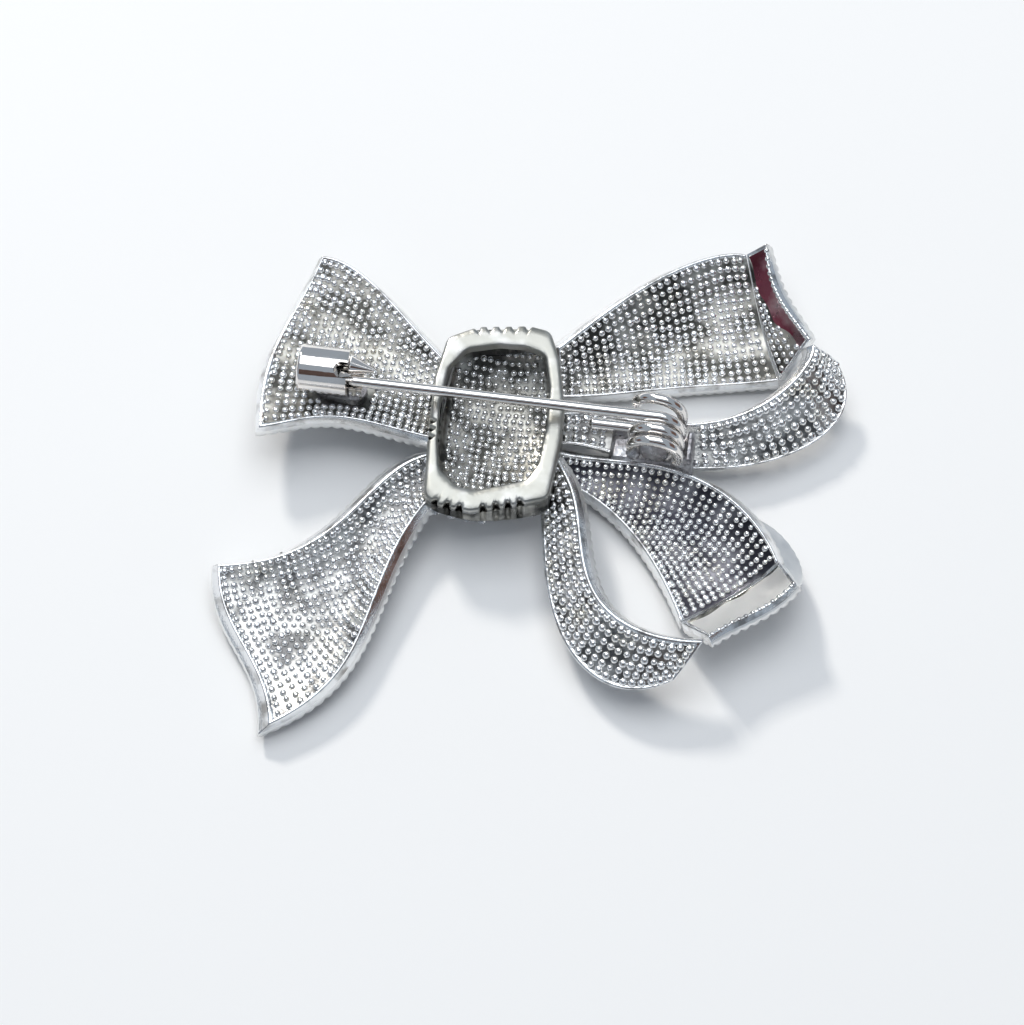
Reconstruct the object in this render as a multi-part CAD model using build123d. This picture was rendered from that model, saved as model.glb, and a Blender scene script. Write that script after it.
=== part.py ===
from build123d import *
import math
import os

os.makedirs("parts", exist_ok=True)

# The brooch lies face down: +Z is its back, +X runs along the needle from the
# catch to the hinge, +Y is towards the top of the bow. All sizes are in mm.

# Moves the knot-centred layout so that the whole brooch is centred on the origin.
LAYOUT_SHIFT = Vector(-3.86, 4.47, -0.146)

PLATE_THICKNESS = 1.0
FOLD_THICKNESS = 0.8

# Each ribbon is a smooth sheet through a grid of points on its back face.
# Five stations run outwards from the knot, with four points across each.
UPPER_TAIL = [
    [(-5.2, 5.4, 5.4), (-5.2, 3.0, 4.5), (-5.2, 0.4, 4.3), (-5.2, -2.0, 4.9)],
    [(-9.2, 9.1, 5.4), (-9.9, 5.6, 4.3), (-10.3, 2.0, 4.3), (-10.6, -1.4, 5.2)],
    [(-12.3, 11.9, 5.6), (-13.5, 7.6, 4.5), (-14.0, 3.0, 4.6), (-14.4, -1.4, 5.6)],
    [(-15.2, 13.8, 5.8), (-16.8, 8.6, 4.9), (-17.4, 3.3, 5.0), (-17.6, -2.3, 5.9)],
    [(-17.9, 14.3, 6.0), (-19.6, 8.8, 5.4), (-21.0, 3.7, 5.4), (-20.7, -3.5, 6.1)],
]
LOWER_TAIL = [
    [(-5.2, -3.2, 4.8), (-5.1, -4.6, 4.2), (-5.0, -6.0, 4.1), (-4.8, -7.4, 4.5)],
    [(-9.5, -6.5, 4.6), (-8.7, -8.4, 3.4), (-7.9, -10.2, 3.2), (-7.0, -11.4, 4.0)],
    [(-12.8, -10.9, 4.3), (-11.6, -13.3, 2.8), (-10.1, -15.6, 2.5), (-8.5, -17.2, 3.6)],
    [(-17.0, -14.2, 3.8), (-15.6, -17.2, 2.4), (-13.2, -20.6, 2.0), (-10.2, -23.4, 3.1)],
    [(-22.5, -15.7, 3.4), (-20.8, -20.4, 2.4), (-18.0, -24.3, 2.0), (-15.9, -29.6, 2.4)],
]
UPPER_LEAF = [
    [(4.2, 8.4, 5.0), (4.4, 7.0, 3.9), (4.5, 5.9, 3.1), (4.6, 4.6, 2.6)],
    [(7.8, 12.3, 5.2), (8.8, 10.1, 3.6), (9.5, 8.0, 2.6), (10.0, 5.8, 2.3)],
    [(11.7, 15.9, 5.4), (13.0, 12.9, 3.5), (13.9, 9.9, 2.3), (14.4, 7.0, 2.1)],
    [(16.0, 18.8, 5.4), (17.3, 15.2, 3.4), (18.4, 11.6, 2.3), (19.2, 8.0, 2.1)],
    [(19.9, 19.9, 5.2), (21.2, 16.4, 3.4), (22.5, 12.9, 2.4), (24.1, 9.0, 2.4)],
]
UPPER_FOLD = [
    [(19.95, 19.95, 5.2), (21.25, 16.4, 3.4), (22.6, 13.0, 2.4), (24.2, 9.1, 2.4)],
    [(21.6, 20.6, 6.4), (22.5, 17.0, 6.1), (24.0, 14.4, 6.1), (26.4, 11.6, 6.0)],
]
UPPER_STRAND = [
    [(4.6, 2.0, 4.4), (4.6, 1.2, 3.9), (4.6, 0.4, 3.5), (4.6, -0.3, 3.1)],
    [(11.4, 2.9, 3.7), (11.4, 1.7, 3.4), (11.4, 0.5, 3.2), (11.4, -0.6, 3.0)],
    [(18.6, 3.2, 4.4), (18.9, 1.9, 3.8), (19.3, 0.6, 3.2), (19.6, -0.6, 2.7)],
    [(24.4, 6.4, 5.7), (25.8, 5.4, 4.6), (27.0, 4.4, 3.5), (28.1, 3.5, 2.5)],
    [(26.7, 11.0, 6.2), (27.4, 11.0, 5.4), (28.1, 11.0, 4.7), (28.7, 10.9, 4.0)],
]
LOWER_LEAF = [
    [(4.6, -0.9, 3.3), (4.8, -1.6, 2.8), (4.9, -2.3, 2.5), (5.0, -3.0, 2.4)],
    [(10.4, -1.1, 3.3), (10.4, -2.6, 2.5), (10.4, -4.1, 2.2), (10.2, -5.4, 2.3)],
    [(15.8, -1.4, 3.4), (15.2, -3.9, 2.3), (14.6, -6.3, 2.0), (13.7, -8.6, 2.3)],
    [(21.2, -3.9, 3.9), (19.9, -6.7, 2.5), (18.2, -9.4, 2.1), (16.1, -12.0, 2.4)],
    [(25.7, -9.6, 4.5), (23.6, -11.4, 3.2), (21.2, -13.2, 2.7), (17.9, -15.6, 2.8)],
]
LOWER_FOLD = [
    [(25.8, -9.65, 4.5), (23.7, -11.5, 3.2), (21.3, -13.3, 2.7), (18.0, -15.7, 2.8)],
    [(27.3, -12.2, 6.3), (25.2, -14.4, 5.8), (22.8, -16.1, 5.7), (20.5, -18.1, 6.1)],
]
LOWER_STRAND = [
    [(5.2, -2.4, 5.4), (4.8, -3.2, 4.8), (4.4, -4.0, 4.2), (4.0, -4.8, 3.6)],
    [(8.2, -8.6, 6.1), (7.2, -9.2, 5.0), (6.2, -9.8, 3.9), (5.3, -10.4, 2.8)],
    [(9.8, -14.2, 6.2), (8.9, -15.1, 5.0), (8.0, -16.1, 3.8), (7.3, -17.1, 2.7)],
    [(13.6, -17.8, 6.2), (12.9, -19.3, 5.1), (12.2, -20.7, 4.0), (11.6, -22.0, 3.0)],
    [(20.1, -18.5, 6.2), (19.4, -19.6, 5.5), (18.7, -20.6, 4.8), (18.0, -21.6, 4.2)],
]

# Knot: a hollow cushion with a flat polished frame round its open back.
KNOT_OUTLINE = [
    (-5.5, 7.2), (-3.0, 8.6), (1.6, 9.3), (3.5, 9.0), (4.7, 6.2), (5.7, 1.5), (5.8, -1.5),
    (5.4, -7.3), (2.2, -8.4), (-1.2, -9.4), (-4.3, -9.1), (-5.4, -8.3), (-5.8, -3.5), (-6.1, 3.0),
]
KNOT_OPENING = [
    (-4.9, 4.2), (-3.6, 6.2), (-0.8, 7.0), (1.6, 7.1), (3.3, 6.6), (4.1, 3.4), (4.3, -0.4),
    (4.0, -4.2), (3.2, -5.8), (-0.9, -7.3), (-2.6, -7.2), (-4.4, -5.7), (-4.9, -3.2), (-5.2, 0.5),
]
KNOT_CORNER_RADIUS = 1.0
KNOT_WALL = 0.9
KNOT_FRAME_TOP = 7.0
KNOT_FRAME_THICKNESS = 0.8
KNOT_FRONT_LOW = 0.75
KNOT_RISE_SIDES = 1.4
KNOT_RISE_MIDDLE = 1.6
KNOT_RISE_ENDS = 2.3
KNOT_NOTCH_RADIUS = 0.28
KNOT_NOTCHES_UPPER = (-3.0, -1.9, -0.8, 0.3, 1.5)
KNOT_NOTCHES_LOWER = (-4.4, -3.3, -2.2, -0.1, 1.0, 2.0, 3.0)
KNOT_STONE_MARGIN = 0.75

# Flat-back stones on the front, in rows that follow the ribbons.
STONE_DIAMETER = 1.1
STONE_HEIGHT = 0.55
STONE_PITCH = 1.35
STONE_MARGIN = 0.75
STONE_GAP = 0.05

# Pin: round wire, wound into a spring and ground to a point.
WIRE_DIAMETER = 1.0
COIL_RADIUS = 2.075
COIL_X = 13.95
NEEDLE_Z = 8.5
NEEDLE_Y = 0.95
ROOT_LEFT = 11.9
SHANK_RADIUS = 0.49
SHANK_RIGHT = 11.3
SHANK_LEFT = -10.8
TAPER_LEFT = -12.9
TAPER_RADIUS = 0.42
NEEDLE_TIP_X = -14.3
NEEDLE_TIP_RADIUS = 0.15
COIL_PITCH = 1.2
NEEDLE_FIRST_ANGLE = -330
END_FIRST_ANGLE = -645
END_LAST_ANGLE = -435
LEG_Y = 1.65
LEG_PITCH = 2.0
LEG_LAST_ANGLE = 270
LEG_END_X = 8.3
COIL_Z = NEEDLE_Z - COIL_RADIUS

# Catch: a barrel sleeve that turns on a fixed core.
BARREL_Y = 1.7
BARREL_Z = 8.5
BARREL_RADIUS = 2.1
BARREL_LEFT = -17.8
BARREL_MOUTH = -13.4
BARREL_BORE = 1.5
BARREL_CAP = 0.6
CORE_CLEARANCE = 0.06
CORE_END = -14.6
COLLAR_RADIUS = 1.7
COLLAR_LEFT = -16.6
COLLAR_WIDTH = 0.4
MOUTH_SLOT_WIDTH = 1.3
MOUTH_SLOT_DEPTH = 1.15


def poles_through(points):
    """Control points of the polynomial curve through evenly spaced points."""
    if len(points) == 2:
        return list(points)
    if len(points) == 4:
        a, b, c, d = points
        first = (a * -5 + b * 18 + c * -9 + d * 2) / 6
        second = (a * 2 + b * -9 + c * 18 + d * -5) / 6
        return [a, first, second, d]
    a, b, c, d, e = points
    first = (a * -13 + b * 48 + c * -36 + d * 16 + e * -3) / 12
    middle = (a * 13 + b * -64 + c * 120 + d * -64 + e * 13) / 18
    third = (a * -3 + b * 16 + c * -36 + d * 48 + e * -13) / 12
    return [a, first, middle, third, e]


def net_through(grid):
    """Control net of the sheet through a grid of points."""
    rows = [poles_through([Vector(*p) for p in row]) for row in grid]
    columns = [poles_through([row[j] for row in rows]) for j in range(len(rows[0]))]
    return [[column[i] for column in columns] for i in range(len(rows))]


def curve_point(poles, t):
    """Point at t on the curve with these control points."""
    level = list(poles)
    while len(level) > 1:
        level = [p * (1 - t) + q * t for p, q in zip(level, level[1:])]
    return level[0]


def sheet_point(net, u, v):
    """Point at u along and v across a sheet."""
    return curve_point([curve_point(row, v) for row in net], u)


def sheet_cross(net, u, v):
    """Cross product of the two directions of a sheet."""
    step = 0.001
    along = sheet_point(net, u + step, v) - sheet_point(net, u - step, v)
    across = sheet_point(net, u, v + step) - sheet_point(net, u, v - step)
    return along.cross(across).normalized()


def sheet_normal(net, u, v):
    """Unit normal of a sheet, on the side that faces the back at its middle."""
    side = math.copysign(1, sheet_cross(net, 0.5, 0.5).Z)
    return sheet_cross(net, u, v) * side


def front_grid(net, rows, columns, depth):
    """Grid of points at a depth below the back face of a sheet."""
    grid = []
    for i in range(rows):
        row = []
        for j in range(columns):
            u = i / (rows - 1)
            v = j / (columns - 1)
            p = sheet_point(net, u, v) - sheet_normal(net, u, v) * depth
            row.append((p.X, p.Y, p.Z))
        grid.append(row)
    return grid


def solid_between(back, front):
    """Solid enclosed by two sheets and the ruled faces that join their edges."""
    faces = [
        Face.make_bezier_surface(back),
        Face.make_bezier_surface(front),
        Face.make_bezier_surface([back[0], front[0]]),
        Face.make_bezier_surface([back[-1], front[-1]]),
        Face.make_bezier_surface([[row[0] for row in back], [row[0] for row in front]]),
        Face.make_bezier_surface([[row[-1] for row in back], [row[-1] for row in front]]),
    ]
    return Solid(Shell(faces))


def plate(grid, thickness):
    """Ribbon sheet with its back face through the grid."""
    back = net_through(grid)
    front = net_through(front_grid(back, len(grid), len(grid[0]), thickness))
    return solid_between(back, front)


def rounded_outline(points, radius):
    """Flat face with rounded corners."""
    face = Face(Wire.make_polygon([Vector(x, y, 0) for x, y in points], close=True))
    return face.fillet_2d(radius, face.vertices())


def knot_front_height(x, y, lift=0.0):
    """Height of the cushion-shaped front of the knot at a point."""
    sides = KNOT_RISE_SIDES * (x / 6.0) ** 2
    ends = KNOT_RISE_MIDDLE * (y / 9.5) ** 2 + KNOT_RISE_ENDS * (y / 9.5) ** 4
    return KNOT_FRONT_LOW + lift + sides + ends


def knot_front_normal(x, y):
    """Direction away from the knot at a point of its front."""
    slope_x = 2 * KNOT_RISE_SIDES * x / 6.0**2
    slope_y = 2 * KNOT_RISE_MIDDLE * y / 9.5**2 + 4 * KNOT_RISE_ENDS * y**3 / 9.5**4
    return Vector(slope_x, slope_y, -1).normalized()


def inside_outline(x, y, margin):
    """True where a point is inside the outline of the knot by at least a margin."""
    for i, (ax, ay) in enumerate(KNOT_OUTLINE):
        bx, by = KNOT_OUTLINE[(i + 1) % len(KNOT_OUTLINE)]
        length = math.hypot(bx - ax, by - ay)
        inward = ((by - ay) * (x - ax) - (bx - ax) * (y - ay)) / length
        if inward < margin:
            return False
    return True


def outline_edge_y(x, side):
    """Y of the upper (side 1) or lower (side -1) edge of the outline at a value of X."""
    found = []
    for i, (ax, ay) in enumerate(KNOT_OUTLINE):
        bx, by = KNOT_OUTLINE[(i + 1) % len(KNOT_OUTLINE)]
        if min(ax, bx) <= x <= max(ax, bx) and ax != bx:
            found.append(ay + (by - ay) * (x - ax) / (bx - ax))
    return max(found) if side > 0 else min(found)


def knot_block(lift, top):
    """Block with the cushion-shaped front below and a flat top."""
    reach_x = 9.0
    reach_y = 12.0
    columns = [-reach_x, -reach_x / 3, reach_x / 3, reach_x]
    rows = [-reach_y, -reach_y / 2, 0, reach_y / 2, reach_y]
    front = [[(x, y, knot_front_height(x, y, lift)) for x in columns] for y in rows]
    back = [[(x, y, top) for x in columns] for y in rows]
    return solid_between(net_through(back), net_through(front))


def knot_body():
    """Upright block the size of the knot, used to trim the ribbons."""
    outline = rounded_outline(KNOT_OUTLINE, KNOT_CORNER_RADIUS)
    return Pos(0, 0, -1) * Solid.extrude(outline, Vector(0, 0, KNOT_FRAME_TOP + 2))


def knot_shell():
    """Hollow cushion, open at the back under the frame."""
    outline = rounded_outline(KNOT_OUTLINE, KNOT_CORNER_RADIUS)
    underside = KNOT_FRAME_TOP - KNOT_FRAME_THICKNESS
    outside = Solid.extrude(outline, Vector(0, 0, underside)) & knot_block(0.0, underside + 1)
    inner_wire = outline.outer_wire().offset_2d(-KNOT_WALL)
    hollow = Solid.extrude(Face(inner_wire), Vector(0, 0, underside + 2))
    return outside - (hollow & knot_block(KNOT_WALL, underside + 1.5))


def knot_frame():
    """Flat polished frame with a row of small notches along both ends."""
    outline = rounded_outline(KNOT_OUTLINE, KNOT_CORNER_RADIUS)
    opening = rounded_outline(KNOT_OPENING, KNOT_CORNER_RADIUS)
    bottom = KNOT_FRAME_TOP - KNOT_FRAME_THICKNESS
    frame = Solid.extrude(outline, Vector(0, 0, KNOT_FRAME_THICKNESS))
    frame -= Solid.extrude(opening, Vector(0, 0, KNOT_FRAME_THICKNESS))
    for side, row in ((1, KNOT_NOTCHES_UPPER), (-1, KNOT_NOTCHES_LOWER)):
        for x in row:
            y = outline_edge_y(x, side)
            notch = Cylinder(KNOT_NOTCH_RADIUS, 2 * KNOT_FRAME_THICKNESS + 1)
            frame -= Pos(x, y + 0.08 * side, 0) * notch
    return Pos(0, 0, bottom) * frame


def stone_at(point, normal):
    """Round stone with a flat back, standing on a surface."""
    r = STONE_DIAMETER / 2
    profile = Polyline(
        (0, 0), (r, 0), (r, 0.2), (0.6 * r, STONE_HEIGHT), (0, STONE_HEIGHT), close=True
    )
    stone = revolve(Plane.XZ * make_face(profile), Axis.Z)
    return Plane(origin=point + normal * STONE_GAP, z_dir=normal) * stone


def arc_stations(net, pitch):
    """Evenly spaced values of u along the middle of a sheet."""
    steps = 200
    lengths = [0.0]
    for i in range(steps):
        a = sheet_point(net, i / steps, 0.5)
        b = sheet_point(net, (i + 1) / steps, 0.5)
        lengths.append(lengths[-1] + (b - a).length)
    total = lengths[-1]
    count = int((total - 2 * STONE_MARGIN) / pitch)
    first = (total - count * pitch) / 2
    stations = []
    for k in range(count + 1):
        target = first + k * pitch
        index = next(i for i, s in enumerate(lengths) if s >= target)
        stations.append(index / steps)
    return stations


def stones_under(grid, thickness, keep, last=1.0):
    """Stones in rows over the front face of a ribbon, up to a last station."""
    back = net_through(grid)
    front = net_through(front_grid(back, len(grid), len(grid[0]), thickness))
    placed = []
    stones = []
    for u in [u for u in arc_stations(front, STONE_PITCH) if u <= last]:
        width = sum(
            (sheet_point(front, u, (k + 1) / 20) - sheet_point(front, u, k / 20)).length
            for k in range(20)
        )
        count = max(1, int((width - 2 * STONE_MARGIN) / STONE_PITCH) + 1)
        for k in range(count):
            along = STONE_MARGIN + (width - 2 * STONE_MARGIN) * (k / max(1, count - 1))
            v = along / width
            point = sheet_point(front, u, v)
            crowded = any((point - other).length < 1.1 * STONE_DIAMETER for other in placed)
            if crowded or not keep(point):
                continue
            placed.append(point)
            stones.append(stone_at(point, sheet_normal(front, u, v) * -1))
    return stones


def knot_stones():
    """Stones over the cushion-shaped front of the knot."""
    stones = []
    for i in range(-4, 5):
        for j in range(-7, 8):
            x = -0.3 + i * STONE_PITCH
            y = 0.1 + j * STONE_PITCH
            if inside_outline(x, y, KNOT_STONE_MARGIN):
                point = Vector(x, y, knot_front_height(x, y))
                stones.append(stone_at(point, knot_front_normal(x, y)))
    return stones


def clear_of_knot(point):
    """True where a ribbon is outside the walls of the knot."""
    return not (-7.2 < point.X < 6.6 and -10.4 < point.Y < 10.8)


def spring_wire(points, radius):
    """Round wire along a smooth path."""
    path = Spline(*points)
    start = Plane(origin=path @ 0, z_dir=path % 0)
    return sweep(start * Circle(radius), path=path)


def helix_points(first_y, pitch, first_angle, last_angle):
    """Points on the coil; angle 0 is the bottom, 90 the hinge end, 180 the top."""
    points = []
    count = int(round((last_angle - first_angle) / 30))
    for i in range(count + 1):
        angle = first_angle + 30 * i
        phi = math.radians(angle)
        x = COIL_X + COIL_RADIUS * math.sin(phi)
        z = COIL_Z - COIL_RADIUS * math.cos(phi)
        points.append(Vector(x, first_y + pitch * (angle - first_angle) / 360, z))
    return points


def coil_y(angle):
    """Y of the spring at an angle of the coil that ends in the needle."""
    return NEEDLE_Y - COIL_PITCH * (180 - angle) / 360


def pin_needle():
    """Needle with the turn and a half of the spring that move with it."""
    radius = WIRE_DIAMETER / 2
    first = NEEDLE_FIRST_ANGLE
    coil = spring_wire(helix_points(coil_y(first), COIL_PITCH, first, 180), radius)
    toward_tip = (-1, 0, 0)
    root_right = COIL_X + 0.3
    root_plane = Plane((root_right, NEEDLE_Y, NEEDLE_Z), z_dir=toward_tip)
    root = Solid.make_cylinder(radius, root_right - ROOT_LEFT, root_plane)
    neck_plane = Plane((ROOT_LEFT, NEEDLE_Y, NEEDLE_Z), z_dir=toward_tip)
    neck = Solid.make_cone(radius, SHANK_RADIUS, ROOT_LEFT - SHANK_RIGHT, neck_plane)
    shank_plane = Plane((SHANK_RIGHT, NEEDLE_Y, NEEDLE_Z), z_dir=toward_tip)
    shank = Solid.make_cylinder(SHANK_RADIUS, SHANK_RIGHT - SHANK_LEFT, shank_plane)
    taper_plane = Plane((SHANK_LEFT, NEEDLE_Y, NEEDLE_Z), z_dir=toward_tip)
    taper = Solid.make_cone(SHANK_RADIUS, TAPER_RADIUS, SHANK_LEFT - TAPER_LEFT, taper_plane)
    point_plane = Plane((TAPER_LEFT, NEEDLE_Y, NEEDLE_Z), z_dir=toward_tip)
    length = TAPER_LEFT - NEEDLE_TIP_X
    point = Solid.make_cone(TAPER_RADIUS, NEEDLE_TIP_RADIUS, length, point_plane)
    return coil + root + neck + shank + taper + point


def pin_spring():
    """Outer turn of the spring and the short leg that lies on the pad."""
    radius = WIRE_DIAMETER / 2
    turn = helix_points(LEG_Y, LEG_PITCH, 0, LEG_LAST_ANGLE)
    coil = spring_wire(turn, radius)
    bottom = COIL_Z - COIL_RADIUS
    leg_right = COIL_X + 0.15
    leg_plane = Plane((leg_right, LEG_Y, bottom), z_dir=(-1, 0, 0))
    leg = Solid.make_cylinder(radius, leg_right - LEG_END_X, leg_plane)
    leg_end = Pos(LEG_END_X, LEG_Y, bottom) * Sphere(radius)
    free_end = Pos(*turn[-1]) * Sphere(radius)
    return coil + leg + leg_end + free_end


def pin_spring_end():
    """Last turn of the spring, which is soldered fast."""
    first = END_FIRST_ANGLE
    turn = helix_points(coil_y(first), COIL_PITCH, first, END_LAST_ANGLE)
    return spring_wire(turn, WIRE_DIAMETER / 2)


def hinge_pad(below, spring_end):
    """Pad under the spring, with a saddle for the leg, an upturned end and solder."""
    bottom = COIL_Z - COIL_RADIUS - WIRE_DIAMETER / 2
    top = bottom - 0.06
    floor = 2.5
    low = Pos(13.6, 0.7, (top + floor) / 2) * Box(7.2, 4.0, top - floor)
    saddle_top = COIL_Z - COIL_RADIUS + 0.1
    saddle = Pos(10.2, LEG_Y, (saddle_top + floor) / 2) * Box(3.4, 0.7, saddle_top - floor)
    upright = Pos(17.05, -0.2, (5.9 + floor) / 2) * Box(0.8, 3.4, 5.9 - floor)
    disc_plane = Plane((COIL_X, -1.95, COIL_Z), z_dir=(0, 1, 0))
    disc = Solid.make_cylinder(1.9, 0.6, disc_plane)
    arm = Pos(16.1, -1.65, 5.1) * Box(2.4, 0.6, 1.5)
    lump = Pos(12.1, -1.55, 5.6) * Sphere(0.7)
    pad = low + saddle + upright + disc + arm + lump
    axis = Plane((8.0, LEG_Y, COIL_Z - COIL_RADIUS), z_dir=(1, 0, 0))
    pad -= Solid.make_cylinder(WIRE_DIAMETER / 2, 6.0, axis)
    pad -= spring_end
    pad -= below
    return max(pad.solids(), key=lambda s: s.volume)


def along_x(radius, left, right, y, z):
    """Cylinder along X between two ends."""
    return Solid.make_cylinder(radius, right - left, Plane((left, y, z), z_dir=(1, 0, 0)))


def catch_sleeve():
    """Turning sleeve: closed outer end, bore with a collar groove, slot in its mouth."""
    sleeve = along_x(BARREL_RADIUS, BARREL_LEFT, BARREL_MOUTH, BARREL_Y, BARREL_Z)
    outer_edge = sleeve.edges().filter_by(GeomType.CIRCLE).sort_by(Axis.X)[0]
    sleeve = sleeve.fillet(0.3, [outer_edge])
    sleeve -= along_x(BARREL_BORE, BARREL_LEFT + BARREL_CAP, 0, BARREL_Y, BARREL_Z)
    groove_left = COLLAR_LEFT - CORE_CLEARANCE
    groove_right = COLLAR_LEFT + COLLAR_WIDTH + CORE_CLEARANCE
    groove = along_x(COLLAR_RADIUS + CORE_CLEARANCE, groove_left, groove_right, BARREL_Y, BARREL_Z)
    sleeve -= groove
    half = MOUTH_SLOT_WIDTH / 2
    deep = BARREL_MOUTH - MOUTH_SLOT_DEPTH + half
    slot = Pos((deep + BARREL_MOUTH + 1) / 2, NEEDLE_Y, BARREL_Z + 2) * Box(
        BARREL_MOUTH + 1 - deep, MOUTH_SLOT_WIDTH, 4
    )
    slot += Pos(deep, NEEDLE_Y, BARREL_Z + 2) * Cylinder(half, 4)
    return sleeve - slot


def catch_core():
    """Fixed core: plug with a retaining collar, pointed nose and foot."""
    radius = BARREL_BORE - CORE_CLEARANCE
    plug = along_x(radius, BARREL_LEFT + BARREL_CAP + 0.1, CORE_END, BARREL_Y, BARREL_Z)
    plug += along_x(COLLAR_RADIUS, COLLAR_LEFT, COLLAR_LEFT + COLLAR_WIDTH, BARREL_Y, BARREL_Z)
    reach = along_x(radius, CORE_END - 0.5, BARREL_MOUTH + 1.3, BARREL_Y, BARREL_Z)
    beside = Pos(-14.5, BARREL_Y + 0.75, BARREL_Z) * Box(2.4, 1.3, 1.5)
    below = Pos(-13.7, BARREL_Y - 0.3, BARREL_Z - 1.15) * Box(3.2, 1.6, 0.8)
    nose = Solid.make_cone(
        0.85, 0.16, 2.1, Plane((-13.3, BARREL_Y + 0.75, BARREL_Z), z_dir=(1, -0.14, 0))
    )
    foot = Pos(-12.75, BARREL_Y - 0.3, 6.6) * Box(1.1, 1.6, 1.6)
    return plug + (reach & beside) + (reach & below) + nose + foot


def catch_base(tail):
    """Soldered base plate that carries the foot of the core."""
    plate_top = 5.9
    base = Pos(-14.2, BARREL_Y - 0.1, (plate_top + 4.0) / 2) * Box(4.6, 2.4, plate_top - 4.0)
    base = base.fillet(1.1, base.edges().filter_by(Axis.Z))
    base -= Pos(-12.75, BARREL_Y - 0.3, 6.6) * Box(1.1, 1.6, 1.6)
    base -= tail
    return max(base.solids(), key=lambda s: s.center().Z * s.volume)


def write(name, shapes):
    """Moves the shapes into the shared frame and writes one file."""
    moved = [Pos(*LAYOUT_SHIFT) * s for s in shapes]
    solids = []
    for shape in moved:
        solids.extend(shape.solids())
    item = solids[0] if len(solids) == 1 else Compound(children=solids)
    item.label = name
    export_step(item, f"parts/{name}.step")
    box = Compound(children=[copy_of(s) for s in solids]).bounding_box()
    print(name, len(solids), round(sum(s.volume for s in solids), 1), box.min, box.max)
    return box


def copy_of(shape):
    """Unplaced copy of a shape."""
    return Pos(0, 0, 0) * shape


def main():
    body = knot_body()
    tail_up = plate(UPPER_TAIL, PLATE_THICKNESS) - body
    tail_low = plate(LOWER_TAIL, PLATE_THICKNESS) - body
    leaf_up = plate(UPPER_LEAF, PLATE_THICKNESS) - body
    strand_up = plate(UPPER_STRAND, PLATE_THICKNESS) - body
    leaf_low = plate(LOWER_LEAF, PLATE_THICKNESS) - body - strand_up
    strand_low = plate(LOWER_STRAND, PLATE_THICKNESS) - body
    fold_up = plate(UPPER_FOLD, FOLD_THICKNESS) - leaf_up - strand_up
    fold_low = plate(LOWER_FOLD, FOLD_THICKNESS) - leaf_low - strand_low
    nodes = {
        "upper_tail_plate": [tail_up],
        "lower_tail_plate": [tail_low],
        "upper_loop_leaf": [leaf_up],
        "upper_loop_fold": [fold_up],
        "upper_loop_strand": [strand_up],
        "lower_loop_leaf": [leaf_low],
        "lower_loop_fold": [fold_low],
        "lower_loop_strand": [strand_low],
        "knot_shell": [knot_shell()],
        "knot_frame": [knot_frame()],
        "upper_tail_stones": stones_under(UPPER_TAIL, PLATE_THICKNESS, clear_of_knot),
        "lower_tail_stones": stones_under(LOWER_TAIL, PLATE_THICKNESS, clear_of_knot),
        "upper_leaf_stones": stones_under(UPPER_LEAF, PLATE_THICKNESS, clear_of_knot),
        "lower_leaf_stones": stones_under(LOWER_LEAF, PLATE_THICKNESS, clear_of_knot),
        "upper_strand_stones": stones_under(UPPER_STRAND, PLATE_THICKNESS, clear_of_knot, 0.86),
        "lower_strand_stones": stones_under(LOWER_STRAND, PLATE_THICKNESS, clear_of_knot, 0.94),
        "knot_stones": knot_stones(),
        "hinge_pad": [hinge_pad(strand_up + leaf_low, pin_spring_end())],
        "pin_spring": [pin_spring()],
        "pin_spring_end": [pin_spring_end()],
        "pin_needle": [pin_needle()],
        "catch_base": [catch_base(tail_up)],
        "catch_core": [catch_core()],
        "catch_sleeve": [catch_sleeve()],
    }
    boxes = [write(name, shapes) for name, shapes in nodes.items()]
    low = [min(b.min.X for b in boxes), min(b.min.Y for b in boxes), min(b.min.Z for b in boxes)]
    high = [max(b.max.X for b in boxes), max(b.max.Y for b in boxes), max(b.max.Z for b in boxes)]
    print("low", [round(v, 3) for v in low], "high", [round(v, 3) for v in high])


main()
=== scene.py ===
import bpy
import math
import numpy as np
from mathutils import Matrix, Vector


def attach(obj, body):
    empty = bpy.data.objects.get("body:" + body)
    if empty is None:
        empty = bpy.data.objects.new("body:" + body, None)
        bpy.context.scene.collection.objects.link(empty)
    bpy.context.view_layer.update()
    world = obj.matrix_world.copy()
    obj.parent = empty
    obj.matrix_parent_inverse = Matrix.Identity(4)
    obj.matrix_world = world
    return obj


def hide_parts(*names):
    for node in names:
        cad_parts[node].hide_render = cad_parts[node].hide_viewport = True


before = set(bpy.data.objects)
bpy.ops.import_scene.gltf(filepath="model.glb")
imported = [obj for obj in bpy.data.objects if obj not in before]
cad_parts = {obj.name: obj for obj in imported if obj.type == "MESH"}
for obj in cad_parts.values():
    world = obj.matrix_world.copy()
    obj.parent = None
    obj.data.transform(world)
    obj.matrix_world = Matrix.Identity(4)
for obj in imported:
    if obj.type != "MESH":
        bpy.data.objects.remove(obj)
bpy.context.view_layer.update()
RNG = np.random.default_rng(7)
MM = 0.001

# All layout values are millimetres about the middle of the knot.
# The shift moves them into the shared frame, and MM turns them into metres.
LAYOUT_SHIFT = np.array([-3.86, 4.47, -0.146])
PLATE_THICKNESS = 1.0
FOLD_THICKNESS = 0.8

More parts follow.
